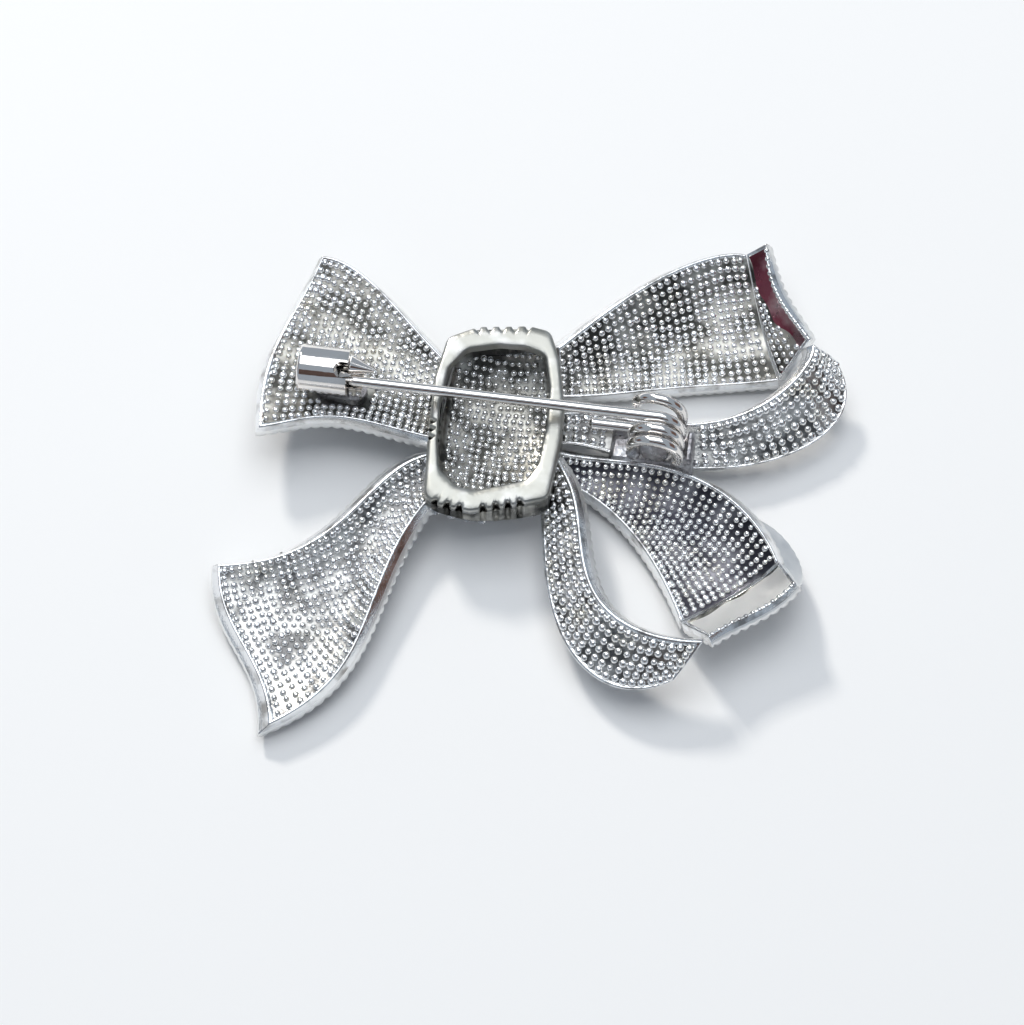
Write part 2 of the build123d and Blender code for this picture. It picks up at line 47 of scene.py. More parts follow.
# Ribbon sheets: five stations outwards from the knot, four points across each.
UPPER_TAIL = [
    [(-5.2, 5.4, 5.4), (-5.2, 3.0, 4.5), (-5.2, 0.4, 4.3), (-5.2, -2.0, 4.9)],
    [(-9.2, 9.1, 5.4), (-9.9, 5.6, 4.3), (-10.3, 2.0, 4.3), (-10.6, -1.4, 5.2)],
    [(-12.3, 11.9, 5.6), (-13.5, 7.6, 4.5), (-14.0, 3.0, 4.6), (-14.4, -1.4, 5.6)],
    [(-15.2, 13.8, 5.8), (-16.8, 8.6, 4.9), (-17.4, 3.3, 5.0), (-17.6, -2.3, 5.9)],
    [(-17.9, 14.3, 6.0), (-19.6, 8.8, 5.4), (-21.0, 3.7, 5.4), (-20.7, -3.5, 6.1)],
]
LOWER_TAIL = [
    [(-5.2, -3.2, 4.8), (-5.1, -4.6, 4.2), (-5.0, -6.0, 4.1), (-4.8, -7.4, 4.5)],
    [(-9.5, -6.5, 4.6), (-8.7, -8.4, 3.4), (-7.9, -10.2, 3.2), (-7.0, -11.4, 4.0)],
    [(-12.8, -10.9, 4.3), (-11.6, -13.3, 2.8), (-10.1, -15.6, 2.5), (-8.5, -17.2, 3.6)],
    [(-17.0, -14.2, 3.8), (-15.6, -17.2, 2.4), (-13.2, -20.6, 2.0), (-10.2, -23.4, 3.1)],
    [(-22.5, -15.7, 3.4), (-20.8, -20.4, 2.4), (-18.0, -24.3, 2.0), (-15.9, -29.6, 2.4)],
]
UPPER_LEAF = [
    [(4.2, 8.4, 5.0), (4.4, 7.0, 3.9), (4.5, 5.9, 3.1), (4.6, 4.6, 2.6)],
    [(7.8, 12.3, 5.2), (8.8, 10.1, 3.6), (9.5, 8.0, 2.6), (10.0, 5.8, 2.3)],
    [(11.7, 15.9, 5.4), (13.0, 12.9, 3.5), (13.9, 9.9, 2.3), (14.4, 7.0, 2.1)],
    [(16.0, 18.8, 5.4), (17.3, 15.2, 3.4), (18.4, 11.6, 2.3), (19.2, 8.0, 2.1)],
    [(19.9, 19.9, 5.2), (21.2, 16.4, 3.4), (22.5, 12.9, 2.4), (24.1, 9.0, 2.4)],
]
UPPER_FOLD = [
    [(19.95, 19.95, 5.2), (21.25, 16.4, 3.4), (22.6, 13.0, 2.4), (24.2, 9.1, 2.4)],
    [(21.6, 20.6, 6.4), (22.5, 17.0, 6.1), (24.0, 14.4, 6.1), (26.4, 11.6, 6.0)],
]
UPPER_STRAND = [
    [(4.6, 2.0, 4.4), (4.6, 1.2, 3.9), (4.6, 0.4, 3.5), (4.6, -0.3, 3.1)],
    [(11.4, 2.9, 3.7), (11.4, 1.7, 3.4), (11.4, 0.5, 3.2), (11.4, -0.6, 3.0)],
    [(18.6, 3.2, 4.4), (18.9, 1.9, 3.8), (19.3, 0.6, 3.2), (19.6, -0.6, 2.7)],
    [(24.4, 6.4, 5.7), (25.8, 5.4, 4.6), (27.0, 4.4, 3.5), (28.1, 3.5, 2.5)],
    [(26.7, 11.0, 6.2), (27.4, 11.0, 5.4), (28.1, 11.0, 4.7), (28.7, 10.9, 4.0)],
]
LOWER_LEAF = [
    [(4.6, -0.9, 3.3), (4.8, -1.6, 2.8), (4.9, -2.3, 2.5), (5.0, -3.0, 2.4)],
    [(10.4, -1.1, 3.3), (10.4, -2.6, 2.5), (10.4, -4.1, 2.2), (10.2, -5.4, 2.3)],
    [(15.8, -1.4, 3.4), (15.2, -3.9, 2.3), (14.6, -6.3, 2.0), (13.7, -8.6, 2.3)],
    [(21.2, -3.9, 3.9), (19.9, -6.7, 2.5), (18.2, -9.4, 2.1), (16.1, -12.0, 2.4)],
    [(25.7, -9.6, 4.5), (23.6, -11.4, 3.2), (21.2, -13.2, 2.7), (17.9, -15.6, 2.8)],
]
LOWER_FOLD = [
    [(25.8, -9.65, 4.5), (23.7, -11.5, 3.2), (21.3, -13.3, 2.7), (18.0, -15.7, 2.8)],
    [(27.3, -12.2, 6.3), (25.2, -14.4, 5.8), (22.8, -16.1, 5.7), (20.5, -18.1, 6.1)],
]
# Outer line of the lower fold's side, from the leaf's edge round to the fold's corner.
BORDER = [(23.7, -4.9, 2.5), (26.0, -6.4, 2.5), (27.3, -8.1, 2.6), (27.9, -9.9, 3.2), (27.5, -12.1, 4.9)]
LOWER_STRAND = [
    [(5.2, -2.4, 5.4), (4.8, -3.2, 4.8), (4.4, -4.0, 4.2), (4.0, -4.8, 3.6)],
    [(8.2, -8.6, 6.1), (7.2, -9.2, 5.0), (6.2, -9.8, 3.9), (5.3, -10.4, 2.8)],
    [(9.8, -14.2, 6.2), (8.9, -15.1, 5.0), (8.0, -16.1, 3.8), (7.3, -17.1, 2.7)],
    [(13.6, -17.8, 6.2), (12.9, -19.3, 5.1), (12.2, -20.7, 4.0), (11.6, -22.0, 3.0)],
    [(20.1, -18.5, 6.2), (19.4, -19.6, 5.5), (18.7, -20.6, 4.8), (18.0, -21.6, 4.2)],
]

KNOT_OUTLINE = [
    (-5.5, 7.2), (-3.0, 8.6), (1.6, 9.3), (3.5, 9.0), (4.7, 6.2), (5.7, 1.5), (5.8, -1.5),
    (5.4, -7.3), (2.2, -8.4), (-1.2, -9.4), (-4.3, -9.1), (-5.4, -8.3), (-5.8, -3.5), (-6.1, 3.0),
]
KNOT_OPENING = [
    (-4.9, 4.2), (-3.6, 6.2), (-0.8, 7.0), (1.6, 7.1), (3.3, 6.6), (4.1, 3.4), (4.3, -0.4),
    (4.0, -4.2), (3.2, -5.8), (-0.9, -7.3), (-2.6, -7.2), (-4.4, -5.7), (-4.9, -3.2), (-5.2, 0.5),
]
KNOT_CORNER_RADIUS = 1.0
KNOT_WALL = 0.9
KNOT_FRAME_TOP = 7.0
KNOT_FRAME_THICKNESS = 0.8
KNOT_FRONT_LOW = 0.75
KNOT_RISE_SIDES = 1.4
KNOT_RISE_MIDDLE = 1.6
KNOT_RISE_ENDS = 2.3
KNOT_NOTCHES_UPPER = (-3.0, -1.9, -0.8, 0.3, 1.5)
KNOT_NOTCHES_LOWER = (-4.4, -3.3, -2.2, -0.1, 1.0, 2.0, 3.0)
KNOT_NICKS_LEFT = (-1.2, -2.0, -2.8)
KNOT_STONE_MARGIN = 0.75
KNOT_MIDDLE = (-0.3, 0.1)
KNOT_HALF_WIDTH = 6.0
KNOT_HALF_HEIGHT = 9.5
KNOT_UNDER = KNOT_FRAME_TOP - KNOT_FRAME_THICKNESS
NICK_HALF_WIDTH = 0.2
FACETS = 9
FACET_DROP = 0.09

# The solder pad's extent, and the blobs on its near side: place, then radii and height.
PAD_X = (9.9, 17.5)
PAD_Y = (-1.9, 2.75)
PAD_FOOT = 2.9
SOLDER_BLOBS = [
    ((13.95, -1.40, 6.43), (1.30, 1.30, 0.34)),
    ((12.1, -1.5, 5.6), (0.62, 0.62, 0.50)),
    ((16.2, -1.62, 5.2), (0.80, 0.80, 0.30)),
    ((16.6, -1.62, 4.6), (0.75, 0.75, 0.28)),
]

STONE_DIAMETER = 1.1
STONE_HEIGHT = 0.55
STONE_PITCH = 1.35
STONE_MARGIN = 0.75
STONE_GAP = 0.05
PRONG_SIZE = (0.12, 0.12, 0.40)

EDGE_STEP = 0.12
FACE_STEP = 0.3
RIM_WIDTH = 0.34
RIM_LIP = 0.14
FRONT_BULGE = 0.35
SCALLOP_PITCH = 0.95
SCALLOP_DEPTH = 0.28
SCALLOP_ROUNDNESS = 0.7
BORDER_SCALLOP = 0.15
FOLD_BEAD = (0.30, 0.30, 0.24)
FOLD_EDGE_BEAD = (0.25, 0.25, 0.17)
KNOT_BEAD = (0.31, 0.31, 0.28)

# How much the beads differ: place in millimetres, radius and height as shares, and tilt.
BEAD_PLACE_SPREAD = 0.035
BEAD_SIZE_SPREAD = 0.07
BEAD_TILT_SPREAD = 0.05
BEAD_HEIGHT_SPREAD = 0.12
KNOT_BEAD_PLACE_SPREAD = 0.05

# Material slots of the cast pieces.
CAST_SLOT = 0
RIM_SLOT = 1
BACK_SLOT = 2
FRONT_SLOT = 3
APRON_SLOT = 4


# ---------------------------------------------------------------- sheets


def unit(vector):
    """The same direction with a length of one."""
    return vector / np.linalg.norm(vector)


def distances(points):
    """Distance along a line of points, from its first point to each one."""
    return np.concatenate([[0], np.cumsum(np.linalg.norm(np.diff(points, axis=0), axis=1))])


def weights(count, t):
    """Lagrange weights at t for evenly spaced points."""
    t = np.asarray(t, float)
    out = np.ones(t.shape + (count,))
    for i in range(count):
        for j in range(count):
            if j != i:
                out[..., i] *= (t * (count - 1) - j) / (i - j)
    return out


class Sheet:
    """Smooth sheet through a grid of points, in layout millimetres."""

    def __init__(self, grid):
        self.grid = np.array(grid, float)
        side = self.cross(np.array([0.5]), np.array([0.5]))[0][2]
        self.side = 1.0 if side > 0 else -1.0

    def point(self, u, v):
        """Points of the sheet, u along the ribbon and v across it, both from 0 to 1."""
        a = weights(self.grid.shape[0], u)
        b = weights(self.grid.shape[1], v)
        return np.einsum("...i,...j,ijk->...k", a, b, self.grid)

    def cross(self, u, v):
        """Unit normals that follow the order of the grid."""
        h = 0.001
        along = self.point(u + h, v) - self.point(u - h, v)
        across = self.point(u, v + h) - self.point(u, v - h)
        n = np.cross(along, across)
        return n / np.linalg.norm(n, axis=-1, keepdims=True)

    def normal(self, u, v):
        """Unit normals on the side of the brooch's back."""
        return self.cross(u, v) * self.side

    def width(self, u):
        """Width across the ribbon at one value of u."""
        t = np.linspace(0, 1, 25)
        p = self.point(np.full(25, float(u)), t)
        return float(np.linalg.norm(np.diff(p, axis=0), axis=1).sum())

    def widths(self, u):
        """Widths at many values of u, read off between nine of them."""
        known = np.linspace(0, 1, 9)
        return np.interp(u, known, [self.width(t) for t in known])

    def length(self, v=0.5):
        """Length along the ribbon at one value of v."""
        t = np.linspace(0, 1, 60)
        p = self.point(t, np.full(60, float(v)))
        return float(np.linalg.norm(np.diff(p, axis=0), axis=1).sum())

    def stations(self, pitch, margin):
        """Values of u evenly spaced along the middle, ends kept clear by a margin."""
        t = np.linspace(0, 1, 400)
        s = distances(self.point(t, np.full(400, 0.5)))
        count = max(1, int(round((s[-1] - 2 * margin) / pitch)))
        wanted = margin + (s[-1] - 2 * margin) * np.arange(count + 1) / count
        return np.interp(wanted, s, t)


# ---------------------------------------------------------------- meshes


class Mesh:
    """Collects vertices and faces with a material index, then makes one object."""

    def __init__(self):
        self.points = []
        self.faces = []
        self.slots = []
        self.flat = []
        self.count = 0

    def add(self, points, faces, slot=0, flat=False):
        """Add points and the faces between them."""
        base = self.count
        self.points.append(np.asarray(points, float).reshape(-1, 3))
        self.count += len(self.points[-1])
        for f in faces:
            self.faces.append([base + i for i in f])
        self.slots.extend([slot] * len(faces))
        self.flat.extend([flat] * len(faces))

    def grid(self, points, slot=0, loop=False, flip=False):
        """Surface through an array of rows of points."""
        points = np.asarray(points, float)
        n, m = points.shape[:2]
        faces = []
        last = m if loop else m - 1
        for i in range(n - 1):
            for j in range(last):
                k = (j + 1) % m
                f = [i * m + j, (i + 1) * m + j, (i + 1) * m + k, i * m + k]
                faces.append(f[::-1] if flip else f)
        self.add(points.reshape(-1, 3), faces, slot)

    def stamp(self, template, centres, normals, scale, slot=0, flat=False, spin=None):
        """Copies of a small shape standing on points along normals."""
        shape, faces = template
        centres = np.asarray(centres, float).reshape(-1, 3)
        normals = np.asarray(normals, float).reshape(-1, 3)
        scale = np.broadcast_to(np.asarray(scale, float), (len(centres), 3))
        for i in range(len(centres)):
            n = normals[i] / np.linalg.norm(normals[i])
            a = np.array([1.0, 0, 0]) if abs(n[0]) < 0.8 else np.array([0, 1.0, 0])
            x = np.cross(a, n)
            x /= np.linalg.norm(x)
            y = np.cross(n, x)
            if spin is not None:
                c, s = math.cos(spin[i]), math.sin(spin[i])
                x, y = x * c + y * s, y * c - x * s
            local = shape * scale[i]
            world = local[:, :1] * x + local[:, 1:2] * y + local[:, 2:] * n + centres[i]
            self.add(world, faces, slot, flat)

    def make(self, name, materials, smooth=True):
        """Make the object in the shared frame, in metres."""
        points = np.concatenate(self.points) + LAYOUT_SHIFT
        mesh = bpy.data.meshes.new(name)
        mesh.from_pydata((points * MM).tolist(), [], self.faces)
        for material in materials:
            mesh.materials.append(material)
        mesh.polygons.foreach_set("material_index", self.slots)
        mesh.polygons.foreach_set("use_smooth", [smooth and not f for f in self.flat])
        mesh.update()
        obj = bpy.data.objects.new(name, mesh)
        bpy.context.scene.collection.objects.link(obj)
        return obj


def dome(segments, rings, skirt=0.35):
    """Half-round bead of unit radius and height, with a short skirt below."""
    points = [(0, 0, 1.0)]
    for r in range(1, rings + 1):
        a = math.pi / 2 * r / rings
        for s in range(segments):
            b = 2 * math.pi * s / segments
            points.append((math.sin(a) * math.cos(b), math.sin(a) * math.sin(b), math.cos(a)))
    for s in range(segments):
        b = 2 * math.pi * s / segments
        points.append((1.04 * math.cos(b), 1.04 * math.sin(b), -skirt))
    faces = [[0, 1 + s, 1 + (s + 1) % segments] for s in range(segments)]
    for r in range(rings):
        a0 = 1 + r * segments
        a1 = a0 + segments
        for s in range(segments):
            t = (s + 1) % segments
            faces.append([a0 + s, a1 + s, a1 + t, a0 + t])
    return np.array(points), faces


def brilliant():
    """Flat-backed round stone of unit radius and height: table, facets, girdle."""
    points = []
    for s in range(8):
        b = 2 * math.pi * (s + 0.5) / 8
        points.append((0.56 * math.cos(b), 0.56 * math.sin(b), 1.0))
    for level in (0.36, 0.0):
        for s in range(16):
            b = 2 * math.pi * s / 16
            points.append((math.cos(b), math.sin(b), level))
    faces = [list(range(8))]
    for s in range(8):
        t = (s + 1) % 8
        g = 8 + (2 * s + 1)
        left = 8 + 2 * s
        right = 8 + (2 * s + 2) % 16
        faces.append([s, left, g])
        faces.append([s, g, right])
        faces.append([s, right, t])
    for s in range(16):
        t = (s + 1) % 16
        faces.append([8 + s, 24 + s, 24 + t, 8 + t])
    faces.append([24 + s for s in range(15, -1, -1)])
    return np.array(points), faces


BEAD = dome(10, 4)
PRONG = dome(6, 2)
STONE = brilliant()


# ---------------------------------------------------------------- materials


def new_material(name):
    """Material with nodes, and its shader."""
    material = bpy.data.materials.new(name)
    material.use_nodes = True
    nodes = material.node_tree.nodes
    links = material.node_tree.links
    return material, nodes, links, nodes["Principled BSDF"]


def noise(nodes, links, place, scale, detail=2.0):
    """Noise that stays with the object, with a scale per metre."""
    texture = nodes.new("ShaderNodeTexNoise")
    texture.inputs["Scale"].default_value = scale
    texture.inputs["Detail"].default_value = detail
    links.new(place, texture.inputs["Vector"])
    return texture.outputs["Fac"]


def metal(name, colour, tint, rough, rough_spread, bump, scale, patch=0.5):
    """Plated metal: colour that drifts between two tones, uneven polish and fine pits."""
    material, nodes, links, shader = new_material(name)
    place = nodes.new("ShaderNodeTexCoord").outputs["Object"]
    ramp = nodes.new("ShaderNodeValToRGB")
    ramp.color_ramp.elements[0].position = patch
    ramp.color_ramp.elements[0].color = (*colour, 1)
    ramp.color_ramp.elements[1].position = min(1.0, patch + 0.22)
    ramp.color_ramp.elements[1].color = (*tint, 1)
    links.new(noise(nodes, links, place, scale * 0.35, 4.0), ramp.inputs["Fac"])
    links.new(ramp.outputs["Color"], shader.inputs["Base Color"])
    spread = nodes.new("ShaderNodeMapRange")
    spread.inputs["From Min"].default_value = 0.3
    spread.inputs["From Max"].default_value = 0.75
    spread.inputs["To Min"].default_value = rough
    spread.inputs["To Max"].default_value = rough + rough_spread
    links.new(noise(nodes, links, place, scale, 6.0), spread.inputs["Value"])
    links.new(spread.outputs["Result"], shader.inputs["Roughness"])
    relief = nodes.new("ShaderNodeBump")
    relief.inputs["Strength"].default_value = bump
    relief.inputs["Distance"].default_value = 0.00004
    links.new(noise(nodes, links, place, scale * 3.0, 3.0), relief.inputs["Height"])
    links.new(relief.outputs["Normal"], shader.inputs["Normal"])
    shader.inputs["Metallic"].default_value = 1.0
    return material


def stone_material(name):
    """Clear glass stone with a faint cloudiness that varies from stone to stone."""
    material, nodes, links, shader = new_material(name)
    place = nodes.new("ShaderNodeTexCoord").outputs["Object"]
    ramp = nodes.new("ShaderNodeValToRGB")
    ramp.color_ramp.elements[0].color = (0.78, 0.82, 0.90, 1)
    ramp.color_ramp.elements[1].color = (0.98, 0.99, 1.0, 1)
    links.new(noise(nodes, links, place, 900.0), ramp.inputs["Fac"])
    links.new(ramp.outputs["Color"], shader.inputs["Base Color"])
    shader.inputs["Roughness"].default_value = 0.04
    shader.inputs["IOR"].default_value = 1.6
    shader.inputs["Transmission Weight"].default_value = 0.75
    return material


# Name, two tones, least roughness and its spread, relief, grain per metre, where the tones change.
CAST = metal("cast_silver", (0.92, 0.92, 0.92), (0.82, 0.80, 0.74), 0.08, 0.12, 0.5, 900.0)
# The next three grounds are painted shade between the beads. Their dark tones stand in for the shade in the
# hollows. The plain, lit and deep-shade versions are lit and shaded copies of one ground, and their noise
# patches are random tone.
SHADED_BEAD_GROUND = metal("painted_shade_ground", (0.065, 0.065, 0.06), (0.50, 0.49, 0.45), 0.24, 0.20, 1.0, 1100.0, 0.44)
LIT_BEAD_GROUND = metal("painted_lit_ground", (0.15, 0.15, 0.15), (0.80, 0.79, 0.76), 0.22, 0.20, 1.0, 1100.0, 0.40)
SHADE = metal("shaded_ground", (0.04, 0.04, 0.05), (0.17, 0.17, 0.19), 0.28, 0.20, 1.0, 1100.0, 0.46)
SMOOTH = metal("smooth_silver", (0.90, 0.91, 0.92), (0.36, 0.35, 0.34), 0.08, 0.14, 0.6, 1900.0, 0.48)
RIM_SILVER = metal("polished_frame", (0.37, 0.37, 0.342), (0.56, 0.56, 0.555), 0.27, 0.14, 0.40, 900.0, 0.50)
SATIN = metal("satin_fold", (0.93, 0.92, 0.89), (0.84, 0.83, 0.82), 0.34, 0.12, 0.40, 520.0, 0.50)
EDGE = metal("stone_edge", (0.95, 0.95, 0.94), (0.86, 0.86, 0.85), 0.35, 0.15, 0.5, 900.0)
# Painted reflection: maroon standing in for a red thing mirrored in the upper fold, which drifts into grey
# metal.
PAINTED_RED_REFLECTION = metal("fold_painted_red_reflection", (0.20, 0.055, 0.08), (0.50, 0.42, 0.43), 0.22, 0.15, 0.5, 700.0, 0.50)
WIRE = metal("bright_wire", (0.88, 0.85, 0.82), (0.78, 0.74, 0.70), 0.05, 0.07, 0.10, 700.0)
SOLDER = metal("grey_solder", (0.30, 0.29, 0.30), (0.62, 0.63, 0.66), 0.22, 0.20, 1.0, 2000.0, 0.47)
GLASS = stone_material("clear_stone")


# ---------------------------------------------------------------- ribbons


def side_rows(sheet, inset, depth, scallop=None, end=1.0, grow=0.0):
    """Closed loop of points round a sheet at an inset from its edge and a depth below it.

    The end factor widens or narrows the rim at the far end, and grow moves that end outwards.
    A scallop is a pitch and an amount that is added to the depth.
    """
    along = int(max(sheet.length(0.0), sheet.length(1.0)) / EDGE_STEP)
    across_near = int(sheet.width(0.0) / EDGE_STEP)
    across_far = int(sheet.width(1.0) / EDGE_STEP)
    side = np.linspace(0, 1, along, endpoint=False)
    far_end = np.linspace(0, 1, across_far, endpoint=False)
    near_end = np.linspace(0, 1, across_near, endpoint=False)
    u = np.concatenate([side, np.ones(across_far), 1 - side, np.zeros(across_near)])
    v = np.concatenate([np.zeros(along), far_end, np.ones(along), 1 - near_end])
    middle = sheet.length(0.5)
    du = np.minimum(0.45, inset / middle)
    dv = np.minimum(0.45, inset / sheet.widths(u))
    inner_u = du + (1 - du - du * end) * u + grow / middle * u**10
    inner_v = dv + (1 - 2 * dv) * v
    points = sheet.point(inner_u, inner_v)
    normals = sheet.normal(inner_u, inner_v)
    if depth < 0:
        depth = np.where(u >= 1.0, depth * min(end, 1.0), depth)[:, None]
    if scallop is not None:
        pitch, amount = scallop
        edge = sheet.point(u, v)
        s = distances(edge)
        total = s[-1] + np.linalg.norm(edge[-1] - edge[0])
        pitch = total / max(1, round(total / pitch))
        depth = depth + amount * np.abs(np.sin(np.pi * s / pitch)) ** SCALLOP_ROUNDNESS
        return points - normals * depth[:, None]
    return points - normals * depth


def ribbon(mesh, sheet, thickness, rim=RIM_WIDTH, lip=RIM_LIP, scallop=(SCALLOP_PITCH, SCALLOP_DEPTH),
           bulge=FRONT_BULGE, end=1.0, flare=0.0):
    """Cast ribbon: back face, rolled rim, side wall and scalloped front edge."""
    nu = int(sheet.length() / FACE_STEP)
    nv = int(max(sheet.width(0.0), sheet.width(0.5), sheet.width(1.0)) / FACE_STEP)
    u, v = np.meshgrid(np.linspace(0, 1, nu), np.linspace(0, 1, nv), indexing="ij")
    du = rim / sheet.length()
    dv = rim / sheet.widths(u)
    inner_u = du + (1 - du - du * end) * u
    inner_v = dv + (1 - 2 * dv) * v
    flip = sheet.side > 0
    back = sheet.point(inner_u, inner_v)
    front = back - sheet.normal(inner_u, inner_v) * thickness
    mesh.grid(back, BACK_SLOT, flip=not flip)
    mesh.grid(front, CAST_SLOT, flip=flip)

    # The rim's profile is inset and height, as shares of its width and of its lip.
    rows = [side_rows(sheet, rim + 0.02, 0.02, end=end)]
    for inset, height in ((0.85, 0.45), (0.6, 0.9), (0.3, 1.0), (0.08, 0.6)):
        rows.append(side_rows(sheet, rim * inset, -lip * height, end=end))
    rows.append(side_rows(sheet, 0.0, 0.05))
    rows.append(side_rows(sheet, 0.0, thickness * 0.5, grow=0.6 * flare))
    rows.append(side_rows(sheet, 0.0, thickness * 0.7, grow=0.85 * flare))
    mesh.grid(np.array(rows), RIM_SLOT, loop=True, flip=not flip)

    # The front edge is inset and depth, the depth as a share of its bulge.
    rows = [rows[-1], side_rows(sheet, 0.0, thickness * 0.9, grow=flare)]
    for inset, depth in ((0.02, 0.3), (0.14, 0.6), (0.30, 0.2)):
        rows.append(side_rows(sheet, inset, thickness + bulge * depth, scallop, grow=flare))
    rows.append(side_rows(sheet, rim + 0.05, thickness - 0.02))
    mesh.grid(np.array(rows), FRONT_SLOT, loop=True, flip=not flip)


def bead_spots(sheet, pitch, margin, skip=None):
    """Centres and normals of the beads: rows across at even steps along the ribbon."""
    centres = []
    normals = []
    for u in sheet.stations(pitch, margin):
        width = sheet.width(u)
        count = max(2, int(round((width - 2 * margin) / pitch)) + 1)
        v = (margin + (width - 2 * margin) * np.arange(count) / (count - 1)) / width
        row = np.full(count, u)
        centres.append(sheet.point(row, v))
        normals.append(sheet.normal(row, v))
    centres = np.concatenate(centres)
    normals = np.concatenate(normals)
    if skip is not None:
        keep = np.array([not skip(p) for p in centres])
        centres, normals = centres[keep], normals[keep]
    return centres, normals


def add_beads(mesh, sheet, pitch, bead, margin, skip):
    """Raised beads over the back face, each a little different."""
    radius, height = bead
    centres, normals = bead_spots(sheet, pitch, margin, skip)
    count = len(centres)
    centres = centres + RNG.normal(0, BEAD_PLACE_SPREAD, (count, 3))
    size = 1 + RNG.normal(0, BEAD_SIZE_SPREAD, count)
    tilt = normals + RNG.normal(0, BEAD_TILT_SPREAD, (count, 3))
    rise = 1 + RNG.normal(0, BEAD_HEIGHT_SPREAD, count)
    scale = np.stack([radius * size, radius * size, height * rise], axis=1)
    mesh.stamp(BEAD, centres, tilt, scale, CAST_SLOT)


def front_of(sheet, thickness):
    """Sheet through the front face of a ribbon."""
    n, m = sheet.grid.shape[:2]
    u, v = np.meshgrid(np.linspace(0, 1, n), np.linspace(0, 1, m), indexing="ij")
    return Sheet(sheet.point(u, v) - sheet.normal(u, v) * thickness)


def clear_of_knot(p):
    """True where a stone would not be hidden by the knot."""
    return not (-7.2 < p[0] < 6.6 and -10.4 < p[1] < 10.8)


def set_stones(stones, prongs, sheet, thickness, last):
    """Stones in rows over the front face, up to a last value of u."""
    front = front_of(sheet, thickness)
    t = np.linspace(0, 1, 201)
    s = distances(front.point(t, np.full(201, 0.5)))
    count = int((s[-1] - 2 * STONE_MARGIN) / STONE_PITCH)
    first = (s[-1] - count * STONE_PITCH) / 2
    placed = []
    for k in range(count + 1):
        u = t[int(np.argmax(s >= first + k * STONE_PITCH))]
        if u > last:
            continue
        width = front.width(u)
        across = max(1, int((width - 2 * STONE_MARGIN) / STONE_PITCH) + 1)
        for j in range(across):
            along = STONE_MARGIN + (width - 2 * STONE_MARGIN) * (j / max(1, across - 1))
            v = along / width
            spot = front.point(np.array([u]), np.array([v]))[0]
            crowded = any(np.linalg.norm(spot - other) < 1.1 * STONE_DIAMETER for other in placed)
            if crowded or not clear_of_knot(spot):
                continue
            placed.append(spot)
            normal = -front.normal(np.array([u]), np.array([v]))[0]
            put_stone(stones, prongs, spot, normal)


def put_stone(stones, prongs, spot, normal):
    """One stone, turned at random, with four prongs round it."""
    r = STONE_DIAMETER / 2
    spin = RNG.uniform(0, 6.28)
    stones.stamp(STONE, [spot + normal * STONE_GAP], [normal], (r, r, STONE_HEIGHT), 0, True, [spin])
    a = np.cross(normal, [0.3, 1.0, 0.1])
    a /= np.linalg.norm(a)
    b = np.cross(normal, a)
    for k in range(4):
        angle = math.pi / 4 + k * math.pi / 2
        corner = spot + (a * math.cos(angle) + b * math.sin(angle)) * (r * 1.02)
        prongs.stamp(PRONG, [corner], [normal], PRONG_SIZE, CAST_SLOT)


def pad_zone(p):
    """True where the hinge pad covers the strand."""
    return 9.8 < p[0] < 17.6 and -1.5 < p[1] < 2.9


def base_zone(p):
    """True where the catch base covers the tail."""
    return -16.7 < p[0] < -11.7 and 0.2 < p[1] < 3.0


def cast_ribbon(name, node, grid, ground, pitch, bead, margin, skip=None, last=1.0,
                rim=RIM_WIDTH, end=1.0, flare=0.0):
    """One ribbon of the bow with its beads, and its stones as a piece of their own.

    A bead is a radius and a height, and the margin keeps the beads clear of the rim.
    """
    sheet = Sheet(grid)
    body = Mesh()
    ribbon(body, sheet, PLATE_THICKNESS, rim, end=end, flare=flare)
    add_beads(body, sheet, pitch, bead, margin, skip)
    stones = Mesh()
    set_stones(stones, body, sheet, PLATE_THICKNESS, last)
    obj = body.make(name + "_cast", [CAST, SMOOTH, ground, EDGE])
    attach(obj, "bow")
    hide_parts(node)
    gems = stones.make(name + "_gems", [GLASS], smooth=False)
    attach(gems, "bow")
    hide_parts(name + "_stones")


# Each ribbon's ground is painted shade between its beads. The lower tail and the strands take the lit copy,
# the lower leaf takes the deep-shade copy, and the upper tail and leaf take the plain shaded one.
cast_ribbon("upper_tail", "upper_tail_plate", UPPER_TAIL, SHADED_BEAD_GROUND, pitch=0.70, bead=(0.32, 0.28),
            margin=0.62, skip=base_zone, end=1.5, flare=0.40)
cast_ribbon("lower_tail", "lower_tail_plate", LOWER_TAIL, LIT_BEAD_GROUND, pitch=0.69, bead=(0.315, 0.27),
            margin=0.60, flare=0.55)
cast_ribbon("upper_leaf", "upper_loop_leaf", UPPER_LEAF, SHADED_BEAD_GROUND, pitch=0.70, bead=(0.32, 0.28),
            margin=0.60, end=0.1)
cast_ribbon("lower_leaf", "lower_loop_leaf", LOWER_LEAF, SHADE, pitch=0.64, bead=(0.28, 0.24),
            margin=0.60, end=0.1)
cast_ribbon("upper_strand", "upper_loop_strand", UPPER_STRAND, LIT_BEAD_GROUND, pitch=0.82, bead=(0.38, 0.33),
            margin=0.62, skip=pad_zone, last=0.86)
cast_ribbon("lower_strand", "lower_loop_strand", LOWER_STRAND, LIT_BEAD_GROUND, pitch=0.80, bead=(0.37, 0.32),
            margin=0.80, last=0.94, rim=0.50)


